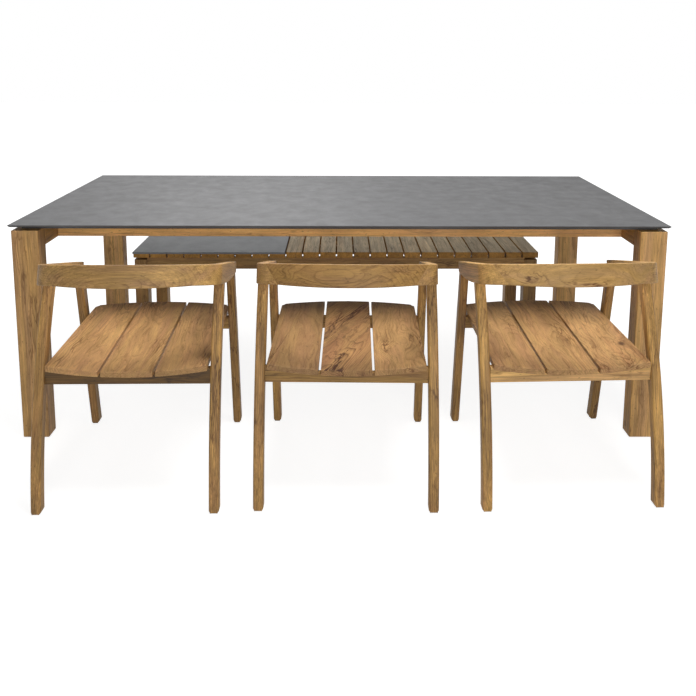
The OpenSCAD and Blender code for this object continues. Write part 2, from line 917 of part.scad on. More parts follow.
at_chair(1) seat_board(-1);  // middle_chair_left_board
at_chair(1) seat_board(0);  // middle_chair_middle_board
at_chair(1) seat_board(1);  // middle_chair_right_board
at_chair(1) chair_glides();  // middle_chair_glides
at_chair(1) chair_screws();  // middle_chair_screws
at_chair(2) chair_back();  // right_chair_back
at_chair(2) chair_arm(-1);  // right_chair_left_arm
at_chair(2) chair_arm(1);  // right_chair_right_arm
at_chair(2) rear_leg(-1);  // right_chair_left_rear_leg
at_chair(2) rear_leg(1);  // right_chair_right_rear_leg
at_chair(2) front_leg(-1);  // right_chair_left_front_leg
at_chair(2) front_leg(1);  // right_chair_right_front_leg
at_chair(2) rear_cross_rail();  // right_chair_rear_rail
at_chair(2) front_cross_rail();  // right_chair_front_rail
at_chair(2) seat_board(-1);  // right_chair_left_board
at_chair(2) seat_board(0);  // right_chair_middle_board
at_chair(2) seat_board(1);  // right_chair_right_board
at_chair(2) chair_glides();  // right_chair_glides
at_chair(2) chair_screws();  // right_chair_screws
at_bench() bench_slats();
at_bench() bench_panel();
at_bench() bench_rails();
at_bench() bench_legs();
at_bench() bench_glides();
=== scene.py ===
# Looks of a patio dining set: a teak table with a thin ceramic top, three armchairs and a slatted bench.
# Metres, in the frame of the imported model: +X along the table, +Y from the chairs to the bench, +Z up.
import json
import math
import random

import bmesh
import bpy
from mathutils import Matrix, Vector


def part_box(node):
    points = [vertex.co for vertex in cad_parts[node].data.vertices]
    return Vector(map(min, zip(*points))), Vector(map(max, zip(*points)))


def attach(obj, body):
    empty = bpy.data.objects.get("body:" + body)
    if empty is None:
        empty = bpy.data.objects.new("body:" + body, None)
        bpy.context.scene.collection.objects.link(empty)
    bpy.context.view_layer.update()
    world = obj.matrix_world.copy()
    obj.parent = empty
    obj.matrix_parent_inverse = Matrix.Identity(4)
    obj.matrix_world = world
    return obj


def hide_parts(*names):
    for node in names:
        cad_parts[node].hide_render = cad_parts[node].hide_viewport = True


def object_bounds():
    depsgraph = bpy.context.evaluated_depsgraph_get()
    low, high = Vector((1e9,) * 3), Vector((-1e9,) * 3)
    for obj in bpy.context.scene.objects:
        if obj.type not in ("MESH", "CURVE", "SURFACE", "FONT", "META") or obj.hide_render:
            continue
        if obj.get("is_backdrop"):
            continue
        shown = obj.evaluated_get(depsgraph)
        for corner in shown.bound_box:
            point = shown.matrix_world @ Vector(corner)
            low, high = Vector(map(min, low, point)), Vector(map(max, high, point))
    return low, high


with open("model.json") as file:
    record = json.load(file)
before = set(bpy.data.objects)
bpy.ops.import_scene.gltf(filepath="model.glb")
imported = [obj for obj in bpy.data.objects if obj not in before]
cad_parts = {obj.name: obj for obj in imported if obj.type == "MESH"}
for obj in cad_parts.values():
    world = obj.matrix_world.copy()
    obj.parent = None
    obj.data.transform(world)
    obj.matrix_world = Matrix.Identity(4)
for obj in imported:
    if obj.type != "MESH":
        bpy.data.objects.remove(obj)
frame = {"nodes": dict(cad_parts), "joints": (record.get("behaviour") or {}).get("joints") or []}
cad_low, cad_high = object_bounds()
nodes = frame["nodes"]
MM = 0.001

CHAIRS = ["left_chair", "middle_chair", "right_chair"]

# Rounding of the edges, in millimetres
BENT_EDGE = 3
LEG_EDGE = 1.5
BOARD_EDGE = 1.2
TABLE_EDGE = 1.2
SLAT_EDGE = 2
BENCH_EDGE = 1.5
SLAB_EDGE = 0.8

# A CAD piece comes as loose triangles: points this close are one, and faces this even are one
SAME_POINT = 0.01 * MM
EVEN_FACES = math.radians(0.5)
# An edge is rounded where its two faces turn by more than this angle and it is longer than this length
CORNER_FROM = math.radians(28)
ROUNDED_FROM = 2 * MM
# Past this angle an edge stays sharp in the shading
SHARP_FROM = math.radians(38)

# How far the grain of a chair's arms and legs leans forwards, in degrees
ARM_LEAN = 16.3
REAR_LEG_LEAN = 15
FRONT_LEG_LEAN = -9.4
# Above these heights a leg's edges lie inside its arm
REAR_LEG_SHOULDER = 0.6
FRONT_LEG_SHOULDER = 0.55


# ---------------------------------------------------------------- colour, nodes and objects

def linear(hex_colour):
    """An sRGB hex colour as linear red, green, blue and 1."""
    parts = [int(hex_colour[i:i + 2], 16) / 255 for i in (1, 3, 5)]
    return tuple(p / 12.92 if p <= 0.04045 else ((p + 0.055) / 1.055) ** 2.4 for p in parts) + (1.0,)


def add(tree, kind, feeds=None, stops=None, **settings):
    """One node. feeds gives its sockets their values or the outputs that feed them, by name or by number;
    6 and 7 are the colours that Mix mixes. stops are a colour ramp's, with its two ends first."""
    made = tree.nodes.new("ShaderNode" + kind)
    for name, value in settings.items():
        setattr(made, name, value)
    for place, (where, colour) in enumerate(stops or []):
        marks = made.color_ramp.elements
        mark = marks[place] if place < 2 else marks.new(where)
        mark.position = where
        mark.color = linear(colour)
    for socket, value in (feeds or {}).items():
        if isinstance(value, bpy.types.NodeSocket):
            tree.links.new(value, made.inputs[socket])
        elif isinstance(value, str):
            made.inputs[socket].default_value = linear(value)
        else:
            made.inputs[socket].default_value = value
    return made


def new_material(name):
    """A new material with its node tree and its surface shader, ready to be fed."""
    material = bpy.data.materials.new(name)
    material.use_nodes = True
    tree = material.node_tree
    return material, tree, tree.nodes["Principled BSDF"]


def in_scene(name, data):
    """An object of the scene, at the origin."""
    made = bpy.data.objects.new(name, data)
    bpy.context.scene.collection.objects.link(made)
    return made


# ---------------------------------------------------------------- teak

def wander(tree, place, figure):
    """The trunk wasn't straight: more figure makes its rings wander further along the board."""
    # Bends some 330 mm long and 110 mm across
    slow = add(tree, "VectorMath", {0: place, 1: (3.0, 9.0, 9.0)}, operation="MULTIPLY").outputs[0]
    drawn = add(tree, "TexNoise", {"Vector": slow, "Scale": 1.0, "Detail": 2.0, "Roughness": 0.55})
    centred = add(tree, "VectorMath", {0: drawn.outputs["Color"], 1: (0.5, 0.5, 0.5)},
                  operation="SUBTRACT").outputs[0]
    most = 0.09 * figure
    shove = add(tree, "VectorMath", {0: centred, 1: (0.0, most, most)}, operation="MULTIPLY").outputs[0]
    return add(tree, "VectorMath", {0: place, 1: shove}, operation="ADD").outputs[0]


def grow_round(tree, bent, knots):
    """Each knot pushes the rings aside by up to its own radius. Gives the place of the pushed rings, and
    how much of the heart's colour each knot shows."""
    # The push fades out to 2.6 radii from the knot's middle, and the heart from 0.3 to 0.75 of a radius
    hearts = []
    for where, reach, radius, heart in knots:
        spot = add(tree, "TexCoord").outputs["Object"]
        offset = add(tree, "VectorMath", {0: spot, 1: where}, operation="SUBTRACT").outputs[0]
        offset = add(tree, "VectorMath", {0: offset, 1: reach}, operation="DIVIDE").outputs[0]
        away = add(tree, "VectorMath", {0: offset}, operation="LENGTH").outputs["Value"]
        swell = add(tree, "MapRange", {"Value": away, "From Max": 2.6 * radius,
                                       "To Min": radius, "To Max": 0.0},
                    interpolation_type="SMOOTHERSTEP").outputs[0]
        aside = add(tree, "CombineXYZ", {0: 0.0, 1: swell, 2: swell}).outputs[0]
        bent = add(tree, "VectorMath", {0: bent, 1: aside}, operation="ADD").outputs[0]
        hearts.append(add(tree, "MapRange", {"Value": away, "From Min": 0.3 * radius,
                                             "From Max": 0.75 * radius,
                                             "To Min": heart, "To Max": 0.0}).outputs[0])
    return bent, hearts


def growth_rings(tree, bent, ring_mm):
    """Rings round the trunk's axis, as the share of dark late wood: each year is pale at first and ends in a
    dark line, which fades into the next."""
    # The wave texture makes one ring in this much of its units
    one_ring = 0.314
    # Along the grain the unevenness of the rings is ten times as long as across it
    trunk = add(tree, "VectorMath", {0: bent, 1: (0.10, 1.0, 1.0)}, operation="MULTIPLY").outputs[0]
    year = add(tree, "TexWave", {"Vector": trunk, "Scale": one_ring / (ring_mm * MM), "Distortion": 1.6,
                                 "Detail": 3.0, "Detail Scale": 0.35, "Detail Roughness": 0.6},
               wave_type="RINGS", rings_direction="X", wave_profile="SAW").outputs["Fac"]
    return add(tree, "ValToRGB", {"Fac": year}, [(0.0, "#6e6e6e"), (1.0, "#c4c4c4"), (0.12, "#1c1c1c"),
                                                 (0.60, "#383838"), (0.88, "#858585")]).outputs["Color"]


# What varies in the wood: the grain that it follows, its features in a metre along that grain and across it,
# its detail and its roughness
WOOD_PATTERNS = {
    # Where rings and veins stand out
    "fade": ("straight", 4.0, 16.0, 2.0, 0.55),
    # Veins run where this slow pattern crosses its middle
    "vein": ("bent", 4.0, 24.0, 4.0, 0.6),
    # Long streaks of pinker wood
    "streak": ("bent", 1.6, 30.0, 3.0, 0.55),
    # Broad paler and darker patches, then bands and dark bundles of fibre 12 to 17 mm wide
    "cloud": ("straight", 7.0, 13.0, 2.0, 0.5),
    "band": ("bent", 2.6, 60.0, 4.0, 0.6),
    "bundle": ("bent", 3.5, 85.0, 5.0, 0.68),
    # Single fibres, drawn some 3 mm wide so that they show
    "fibre": ("straight", 9.0, 380.0, 4.0, 0.65),
    # Short pores and a few specks, drawn wide enough to show
    "pore": ("straight", 60.0, 800.0, 2.0, 0.55),
    "speck": ("straight", 70.0, 160.0, 1.0, 0.55),
}
KNOT_HEART = "#4a2a16"


def wood_patterns(tree, place, bent):
    """Draws every pattern of the wood along the grain that it follows."""
    grain = {"straight": place, "bent": bent}
    pattern = {}
    for mark, (follows, along, across, detail, roughness) in WOOD_PATTERNS.items():
        stretched = add(tree, "VectorMath", {0: grain[follows], 1: (along, across, across)},
                        operation="MULTIPLY").outputs[0]
        pattern[mark] = add(tree, "TexNoise", {"Vector": stretched, "Scale": 1.0, "Detail": detail,
                                               "Roughness": roughness}).outputs["Fac"]
    return pattern


def strengths(tree, pattern, tone, rings, veins, fibres):
    """How each mark of the wood shows: where it starts and ends in its pattern, and how strong it is at
    those two."""
    # A vein is 1 to 3 mm wide
    off_vein = add(tree, "Math", {0: pattern["vein"], 1: 0.5}, operation="SUBTRACT").outputs[0]
    off_vein = add(tree, "Math", {0: off_vein}, operation="ABSOLUTE").outputs[0]
    level = {}
    for mark, source, start, end, at_start, at_end in (
            ("ring", pattern["fade"], 0.35, 0.65, 0.25 * rings, 1.3 * rings),
            ("vein", off_vein, 0.0, 0.03, 0.85, 0.0),
            ("vein_place", pattern["fade"], 0.48, 0.66, 0.0, veins),
            ("blush", pattern["streak"], 0.42, 0.66, 0.0, 0.85),
            ("bundle", pattern["bundle"], 0.5, 0.76, 0.0, 0.7 * rings),
            ("cloud", pattern["cloud"], 0.35, 0.65, 0.86, 1.10),
            ("band", pattern["band"], 0.35, 0.65, 1 - 0.20 * fibres, 1 + 0.14 * fibres),
            ("pore", pattern["pore"], 0.58, 0.72, 1.0, 0.66),
            ("fibre", pattern["fibre"], 0.3, 0.7, 1 - 0.26 * fibres, 1 + 0.22 * fibres),
            ("speck", pattern["speck"], 0.68, 0.76, 1.0, 0.62),
            ("board", tone, -3.0, 3.0, 0.52, 1.48),
            ("rough", pattern["fibre"], 0.0, 1.0, 0.46, 0.62)):
        level[mark] = add(tree, "MapRange", {"Value": source, "From Min": start, "From Max": end,
                                             "To Min": at_start, "To Max": at_end}).outputs[0]
    return level


def teak(name, ground, vein, blush, ring_mm, rings=1.0, figure=1.0, veins=1.0, fibres=1.0, gloss=0.35,
         knots=(), sheltered=None):
    """Sanded teak. It gives an even golden ground, soft growth rings that bend into flames and loops, streaks
    of darker fibre, thin dark veins, short pores along the grain, a few specks, and a soft low sheen.
    The grain attribute holds each board's own place in its trunk: x along it, y and z across it.
    rings, figure, veins and fibres are how strong each is. knots are (place, reach, radius, heart): reach
    stretches a knot along the set's own directions, and its heart is dark by that share. sheltered is the
    colour that weathered wood keeps where it doesn't face the sky."""
    material, tree, surface = new_material(name)
    place = add(tree, "Attribute", attribute_name="grain").outputs["Vector"]
    # The tone attribute is each board's paleness: its own, and painted light for the pieces that the tones
    # table lifts or lowers
    tone = add(tree, "Attribute", attribute_name="tone").outputs["Fac"]
    bent, hearts = grow_round(tree, wander(tree, place, figure), knots)
    late = growth_rings(tree, bent, ring_mm)
    pattern = wood_patterns(tree, place, bent)
    level = strengths(tree, pattern, tone, rings, veins, fibres)
    ring_share = add(tree, "Math", {0: late, 1: level["ring"]}, operation="MULTIPLY",
                     use_clamp=True).outputs[0]
    vein_share = add(tree, "Math", {0: level["vein"], 1: level["vein_place"]}, operation="MULTIPLY",
                     use_clamp=True).outputs[0]

    colour = add(tree, "Mix", {"Factor": level["blush"], 6: ground, 7: blush}, data_type="RGBA").outputs[2]
    if sheltered:
        facing = add(tree, "SeparateXYZ", {0: add(tree, "TexCoord").outputs["Normal"]}).outputs["Z"]
        bleached = add(tree, "MapRange", {"Value": facing, "From Min": 0.2, "From Max": 0.8}).outputs[0]
        colour = add(tree, "Mix", {"Factor": bleached, 6: sheltered, 7: colour}, data_type="RGBA").outputs[2]
    for share in (ring_share, level["bundle"], vein_share):
        colour = add(tree, "Mix", {"Factor": share, 6: colour, 7: vein}, data_type="RGBA").outputs[2]
    for share in hearts:
        colour = add(tree, "Mix", {"Factor": share, 6: colour, 7: KNOT_HEART}, data_type="RGBA").outputs[2]
    shade = level["fibre"]
    for mark in ("cloud", "band", "pore", "speck", "board"):
        shade = add(tree, "Math", {0: shade, 1: level[mark]}, operation="MULTIPLY").outputs[0]
    colour = add(tree, "VectorMath", {0: colour, "Scale": shade}, operation="SCALE").outputs[0]

    tree.links.new(colour, surface.inputs["Base Color"])
    tree.links.new(level["rough"], surface.inputs["Roughness"])
    grooves = add(tree, "Math", {0: pattern["fibre"], 1: level["pore"]}, operation="MULTIPLY").outputs[0]
    bump = add(tree, "Bump", {"Height": grooves, "Strength": 0.5, "Distance": 0.25 * MM}).outputs[0]
    tree.links.new(bump, surface.inputs["Normal"])
    surface.inputs["Specular IOR Level"].default_value = gloss
    return material


# ---------------------------------------------------------------- ceramic, metal and plastic

def ceramic(name, ground, cloud, fleck, painted_shade_drift=0.0):
    """Sintered ceramic slab, matt printed and honed: a plain grey ground with soft cement-like clouds,
    faint warm patches, fine grit, and a broad dull sheen. Its last argument is painted shade: how much darker
    the slab is painted from the middle of the set to the right end of the table, standing in for weaker
    reflection."""
    material, tree, surface = new_material(name)
    place = add(tree, "TexCoord").outputs["Object"]
    # Clouds some 200 mm across, patches of 60 mm and grit of 2 mm
    clouds = add(tree, "TexNoise", {"Vector": place, "Scale": 5.0, "Detail": 6.0, "Roughness": 0.62,
                                    "Distortion": 0.6}).outputs["Fac"]
    patches = add(tree, "TexNoise", {"Vector": place, "Scale": 17.0, "Detail": 5.0, "Roughness": 0.6,
                                     "Distortion": 0.3}).outputs["Fac"]
    grit = add(tree, "TexNoise", {"Vector": place, "Scale": 520.0, "Detail": 2.0}).outputs["Fac"]
    cloud_share = add(tree, "MapRange", {"Value": clouds, "From Min": 0.38, "From Max": 0.66}).outputs[0]
    base = add(tree, "Mix", {"Factor": cloud_share, 6: ground, 7: cloud}, data_type="RGBA").outputs[2]
    patch_share = add(tree, "MapRange", {"Value": patches, "From Min": 0.5, "From Max": 0.78,
                                         "To Max": 0.35}).outputs[0]
    patched = add(tree, "Mix", {"Factor": patch_share, 6: base, 7: fleck}, data_type="RGBA").outputs[2]
    speckle = add(tree, "MapRange", {"Value": grit, "From Min": 0.3, "From Max": 0.7,
                                     "To Min": 0.93, "To Max": 1.07}).outputs[0]
    # Painted shade: the slab gets darker towards the right end of the table, standing in for weaker
    # reflection there
    along = add(tree, "SeparateXYZ", {0: place}).outputs["X"]
    painted_shade_level = add(tree, "MapRange", {"Value": along, "From Min": 0.0, "From Max": cad_high[0],
                                         "To Min": 1.0, "To Max": 1.0 - painted_shade_drift}).outputs[0]
    shade = add(tree, "Math", {0: speckle, 1: painted_shade_level}, operation="MULTIPLY").outputs[0]
    colour = add(tree, "VectorMath", {0: patched, "Scale": shade}, operation="SCALE").outputs[0]
    tree.links.new(colour, surface.inputs["Base Color"])
    roughness = add(tree, "MapRange", {"Value": patches, "From Min": 0.3, "From Max": 0.7,
                                       "To Min": 0.42, "To Max": 0.56}).outputs[0]
    tree.links.new(roughness, surface.inputs["Roughness"])
    bump = add(tree, "Bump", {"Height": grit, "Strength": 0.3, "Distance": 0.1 * MM}).outputs[0]
    tree.links.new(bump, surface.inputs["Normal"])
    surface.inputs["Specular IOR Level"].default_value = 0.3
    return material


def powder_coat(name, colour):
    """Powder-coated aluminium bar: near-black, with the fine orange peel of baked powder."""
    material, tree, surface = new_material(name)
    place = add(tree, "TexCoord").outputs["Object"]
    # Orange peel about 1.5 mm across, and dust in patches of some 110 mm
    peel = add(tree, "TexNoise", {"Vector": place, "Scale": 650.0, "Detail": 2.0}).outputs["Fac"]
    dust = add(tree, "TexNoise", {"Vector": place, "Scale": 9.0, "Detail": 4.0}).outputs["Fac"]
    shade = add(tree, "MapRange", {"Value": dust, "To Min": 0.8, "To Max": 1.3}).outputs[0]
    tint = add(tree, "RGB").outputs[0]
    tint.default_value = linear(colour)
    shaded = add(tree, "VectorMath", {0: tint, "Scale": shade}, operation="SCALE").outputs[0]
    tree.links.new(shaded, surface.inputs["Base Color"])
    bump = add(tree, "Bump", {"Height": peel, "Strength": 0.4, "Distance": 0.1 * MM}).outputs[0]
    tree.links.new(bump, surface.inputs["Normal"])
    surface.inputs["Roughness"].default_value = 0.5
    return material


def moulded_plastic(name, colour):
    """Injection-moulded black polyethylene glide: matt, faintly grained by its mould."""
    material, tree, surface = new_material(name)
    place = add(tree, "TexCoord").outputs["Object"]
    # Grain about 1.1 mm across
    grain = add(tree, "TexNoise", {"Vector": place, "Scale": 900.0, "Detail": 3.0}).outputs["Fac"]
    shade = add(tree, "MapRange", {"Value": grain, "To Min": 0.8, "To Max": 1.25}).outputs[0]
    tint = add(tree, "RGB").outputs[0]
    tint.default_value = linear(colour)
    shaded = add(tree, "VectorMath", {0: tint, "Scale": shade}, operation="SCALE").outputs[0]
    tree.links.new(shaded, surface.inputs["Base Color"])
    bump = add(tree, "Bump", {"Height": grain, "Strength": 0.4, "Distance": 0.1 * MM}).outputs[0]
    tree.links.new(bump, surface.inputs["Normal"])
    surface.inputs["Roughness"].default_value = 0.62
    return material


def turned_steel(name, colour):
    """Plain stainless screw, turned and rolled: bright, with fine marks of the tool."""
    material, tree, surface = new_material(name)
    place = add(tree, "TexCoord").outputs["Object"]
    # Marks about 0.8 mm apart
    marks = add(tree, "TexNoise", {"Vector": place, "Scale": 1200.0, "Detail": 3.0}).outputs["Fac"]
    rough = add(tree, "MapRange", {"Value": marks, "To Min": 0.25, "To Max": 0.45}).outputs[0]
    tree.links.new(rough, surface.inputs["Roughness"])
    bump = add(tree, "Bump", {"Height": marks, "Strength": 0.3, "Distance": 0.05 * MM}).outputs[0]
    tree.links.new(bump, surface.inputs["Normal"])
    surface.inputs["Base Color"].default_value = linear(colour)
    surface.inputs["Metallic"].default_value = 1.0
    return material


# By slot; teak_leg is a batch of its own in the slot teak_chair
FINISHES = {
    "teak_table": teak("sanded_teak_table", "#c1975c", "#6c4824", "#b58c60", 6.0,
                       rings=0.95, figure=0.3),
    "teak_chair": teak("sanded_teak_chair", "#c69c5c", "#6c4924", "#be9262", 6.5,
                       rings=0.95, figure=0.6, veins=0.9),
    "teak_leg": teak("sanded_teak_chair_legs", "#c99c59", "#5f3d1b", "#bb8c57", 5.5,
                     rings=1.3, figure=0.35, veins=1.2, fibres=1.4),
    "teak_seat": teak("sanded_teak_seat", "#c49962", "#673f1e", "#bc8d60", 8.0,
                      rings=0.85, figure=1.1, veins=0.9, fibres=0.55),
    # The slats' pale ground is partly weathering and partly painted light, making up for the table's shade
    # over the bench
    "teak_bench": teak("weathered_teak_slats_painted_paler", "#d9c39c", "#6c553c", "#c8ac82", 5.0,
                       rings=0.7, figure=0.5, gloss=0.15, sheltered="#c08d49"),
    "teak_bench_frame": teak("sanded_teak_bench_frame", "#aa834c", "#593d1c", "#9a6f42", 5.5, figure=0.5),
    # The top's painted shade: a quarter darker at the right end of the table
    "ceramic_top": ceramic("honed_ceramic_top", "#545455", "#585859", "#514e4d", painted_shade_drift=0.25),
    # The panel's grey is paler than the top's, partly to make up for the shade that the table casts on it:
    # painted light
    "ceramic_panel": ceramic("honed_ceramic_panel_painted_paler", "#7e8082", "#858789", "#797a7c"),
    "dark_metal": powder_coat("powder_coated_bars", "#2b2a29"),
    "screw_steel": turned_steel("stainless_screws", "#a5a5a3"),
    "black_plastic": moulded_plastic("moulded_glides", "#1d1c1b"),
}


def spot_on(node, x_share, y_share, z_share):
    """A place in a node's box, by shares of its sides."""
    low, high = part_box(node)
    return tuple(low[k] + share * (high[k] - low[k]) for k, share in enumerate((x_share, y_share, z_share)))


# Three rails, two backs and three boards whose colour or figure stands out from the rest of their batch
STANDOUTS = {
    # Painted light: this rail's ground is paler to make up for the shade it lies in under the table top
    "long_rail_near": teak("sanded_teak_rail_painted_paler", "#d2a566", "#7e5830", "#c89a69", 6.0,
                           rings=0.6, figure=0.2, veins=0.5, fibres=0.7),
    "left_chair_rear_rail": teak("sanded_teak_dark_rail", "#876330", "#3d270f", "#7c5b30", 6.0,
                                 rings=1.2, figure=0.4, fibres=1.3),
    "right_chair_rear_rail": teak("sanded_teak_pale_rail", "#cda566", "#7a5530", "#c59b68", 6.5,
                                  rings=0.9, figure=0.3),
    "middle_chair_back": teak(
        "sanded_teak_figured_back", "#c69853", "#6c471f", "#be8f58", 5.0, rings=1.2, figure=0.3, fibres=0.7,
        knots=[(spot_on("middle_chair_back", 0.45, 0.0, 0.45), (2.6, 6.0, 1.0), 0.026, 0.15),
               (spot_on("middle_chair_back", 0.13, 0.1, 0.4), (1.6, 6.0, 1.0), 0.010, 0.6),
               (spot_on("middle_chair_back", 0.87, 0.1, 0.7), (1.5, 6.0, 1.0), 0.008, 0.6)]),
    "right_chair_back": teak(
        "sanded_teak_cracked_back", "#c69c5c", "#65411f", "#bf9766", 9.0,
        rings=0.6, figure=0.5, veins=1.6, fibres=0.55,
        knots=[(spot_on("right_chair_back", 0.22, 0.1, 0.35), (2.2, 6.0, 1.0), 0.012, 0.35),
               (spot_on("right_chair_back", 0.88, 0.1, 0.5), (1.0, 6.0, 1.6), 0.016, 0.1)]),
    "middle_chair_middle_board": teak(
        "sanded_teak_veined_board", "#c0935d", "#54301a", "#b07e55", 6.0,
        rings=1.3, figure=0.9, veins=2.2, fibres=0.6,
        knots=[(spot_on("middle_chair_middle_board", 0.45, 0.55, 1.0), (1.0, 1.8, 8.0), 0.022, 0.35)]),
    "middle_chair_right_board": teak(
        "sanded_teak_whorled_board", "#c49962", "#673f1e", "#bc8d60", 7.0,
        rings=1.1, figure=1.6, veins=1.6, fibres=0.5,
        knots=[(spot_on("middle_chair_right_board", 0.3, 0.25, 1.0), (1.2, 1.5, 8.0), 0.020, 0.2)]),
    "right_chair_right_board": teak(
        "sanded_teak_flamed_board", "#cba069", "#704422", "#c29261", 7.0,
        rings=1.3, figure=1.6, veins=1.0, fibres=0.5,
        knots=[(spot_on("right_chair_right_board", 0.76, 0.27, 1.0), (1.2, 1.4, 8.0), 0.015, 0.85)]),
}


# ---------------------------------------------------------------- wooden pieces

# How far the grain runs out sideways along a board, as a slope
SLOPES = {"middle_chair_middle_board": -0.5, "right_chair_right_board": -0.12}

# How much darker or paler than its batch a piece is, from -3 to 3: the table's, and in the left, middle and
# right chair. Any other board draws its own, from -1 to 1. These are partly the wood's own tone and partly
# painted light: the far table legs and the near rail, in shade under the top, are painted paler, and the
# right-hand pieces are painted paler as if more light fell on them from the right.
TONES_WITH_PAINTED_LIGHT = {"table_leg_near_left": 1.0, "table_leg_near_right": 2.2,
         "table_leg_far_left": 3.0, "table_leg_far_right": 3.0, "long_rail_near": 3.0}
CHAIR_TONES_WITH_PAINTED_LIGHT = {
    "back": (-1.2, -1.7, -0.6),
    "left_arm": (-0.6, -0.7, 1.0),
    "right_arm": (0.0, -0.5, 0.3),
    "left_rear_leg": (-0.9, -0.6, 0.1),
    "right_rear_leg": (-0.8, -1.0, 0.6),
    "left_front_leg": (-1.5, -0.3, -0.6),
    "right_front_leg": (-1.0, -0.4, -0.6),
    "rear_rail": (-2.4, -1.8, 2.0),
    "left_board": (0.9, -1.8, -0.2),
    "middle_board": (0.4, -0.9, 0.0),
    "right_board": (-0.4, -0.4, 0.3),
}
for part, tones in CHAIR_TONES_WITH_PAINTED_LIGHT.items():
    for chair, tone in zip(CHAIRS, tones):
        TONES_WITH_PAINTED_LIGHT[f"{chair}_{part}"] = tone


def loose_boards(mesh):
    """The points of each loose board of a piece, with the boards in the order of their middles."""
    neighbours = [[] for _ in mesh.vertices]
    for edge in mesh.edges:
        a, b = edge.vertices
        neighbours[a].append(b)
        neighbours[b].append(a)
    seen = [False] * len(mesh.vertices)
    boards = []
    for start in range(len(mesh.vertices)):
        if seen[start]:
            continue
        seen[start] = True
        waiting = [start]
        board = []
        while waiting:
            here = waiting.pop()
            board.append(here)
            for there in neighbours[here]:
                if not seen[there]:
                    seen[there] = True
                    waiting.append(there)
        boards.append(board)

    def middle(board):
        whole = sum((mesh.vertices[i].co for i in board), Vector())
        return tuple(round(c, 4) for c in whole / len(board))

    return sorted(boards, key=middle)


def mark_boards(mesh, turn, seed, heart_at, tone, slope):
    """Writes where each loose board of a piece lay in its trunk, and how pale the board is, from -3 to 3: its
    trunk's own tone, and painted light where the tones table lifts or lowers a piece for how light falls on
    it.
    turn takes the set's directions to the board's own; the longest side is the grain's. heart_at is the place
    of the trunk's axis from the board's middle, and tone is how pale the board is; chance draws what is None.
    slope is how far the grain runs out sideways."""
    luck = random.Random(seed)
    grain = [0.0] * (3 * len(mesh.vertices))
    tones = [0.0] * len(mesh.vertices)
    for board in loose_boards(mesh):
        points = [turn @ mesh.vertices[i].co for i in board]
        low = Vector(min(p[k] for p in points) for k in range(3))
        high = Vector(max(p[k] for p in points) for k in range(3))
        size = high - low
        middle = (low + high) / 2
        along = max(range(3), key=lambda k: size[k])
        across = [k for k in range(3) if k != along]
        if size[across[0]] < size[across[1]]:
            across.reverse()
        # By chance the trunk's axis lies 50 to 120 mm off the board's flat side
        heart = (luck.uniform(-0.05, 0.05), luck.uniform(0.05, 0.12) * luck.choice((-1, 1)))
        if heart_at:
            heart = [-heart_at[k] for k in across]
        # Metres along the trunk, so that no two boards are alike
        start = luck.uniform(-20, 20)
        pale = luck.uniform(-1, 1)
        for i, p in zip(board, points):
            q = p - middle
            q[across[0]] += slope * q[along]
            grain[3 * i:3 * i + 3] = q[along] + start, q[across[0]] + heart[0], q[across[1]] + heart[1]
            tones[i] = pale if tone is None else tone
    mesh.attributes.new("grain", "FLOAT_VECTOR", "POINT").data.foreach_set("vector", grain)
    mesh.attributes.new("tone", "FLOAT", "POINT").data.foreach_set("value", tones)


def whole_shape(node):
    """A CAD piece as one closed shape, its flat faces whole."""
    shape = bmesh.new()
    shape.from_mesh(nodes[node].data)
    bmesh.ops.remove_doubles(shape, verts=shape.verts, dist=SAME_POINT)
    bmesh.ops.dissolve_limit(shape, angle_limit=EVEN_FACES, verts=shape.verts, edges=shape.edges)
    return shape


def stand_in(shape, name, node, body, finish):
    """Makes a shape the piece that is seen in place of a CAD node, and gives its mesh."""
    mesh = bpy.data.meshes.new(name)
    shape.to_mesh(mesh)
    shape.free()
    mesh.shade_smooth()
    mesh.set_sharp_from_angle(angle=SHARP_FROM)
    piece = in_scene(name, mesh)
    piece.modifiers.new("even_shading", "WEIGHTED_NORMAL").keep_sharp = True
    mesh.materials.append(finish)
    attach(piece, body)
    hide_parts(node)
    return mesh


def wooden(node, body, slot, edge_mm, seed, turn=0.0, lean=0.0, keep=None, heart_at=None, batch=None):
    """A CAD piece of wood with rounded edges and its own grain, which seed draws. turn turns the grain seen
    from above and lean tips it forwards, both in degrees. keep(edge) is true for an edge that stays sharp, as
    where it meets another piece. heart_at is mark_boards' own, and batch names teak other than the slot's."""
    shape = whole_shape(node)
    rounded = [e for e in shape.edges
               if len(e.link_faces) == 2 and e.calc_face_angle(0.0) > CORNER_FROM
               and e.calc_length() > ROUNDED_FROM and not (keep and keep(e))]
    bmesh.ops.bevel(shape, geom=rounded, offset=edge_mm * MM, offset_type="OFFSET", affect="EDGES",
                    segments=3, profile=0.5, material=-1, clamp_overlap=False, loop_slide=True)
    finish = STANDOUTS.get(node, FINISHES[batch or slot])
    mesh = stand_in(shape, node + "_wood", node, body, finish)
    to_board = Matrix.Rotation(math.radians(lean), 3, "X") @ Matrix.Rotation(-math.radians(turn), 3, "Z")
    mark_boards(mesh, to_board, seed, heart_at, TONES_WITH_PAINTED_LIGHT.get(node), SLOPES.get(node, 0.0))


def above(height):
    """True for an edge that lies wholly over a height, as at the top of a leg, inside its arm."""
    return lambda edge: all(v.co.z > height for v in edge.verts)


forward = {j["child"]: Vector(j["axis"]) for j in frame["joints"]}


def turn_of(body):
    """How far a chair or the bench is turned seen from above, in degrees, by the line that it slides on."""
    return math.degrees(math.atan2(-forward[body].x, forward[body].y))


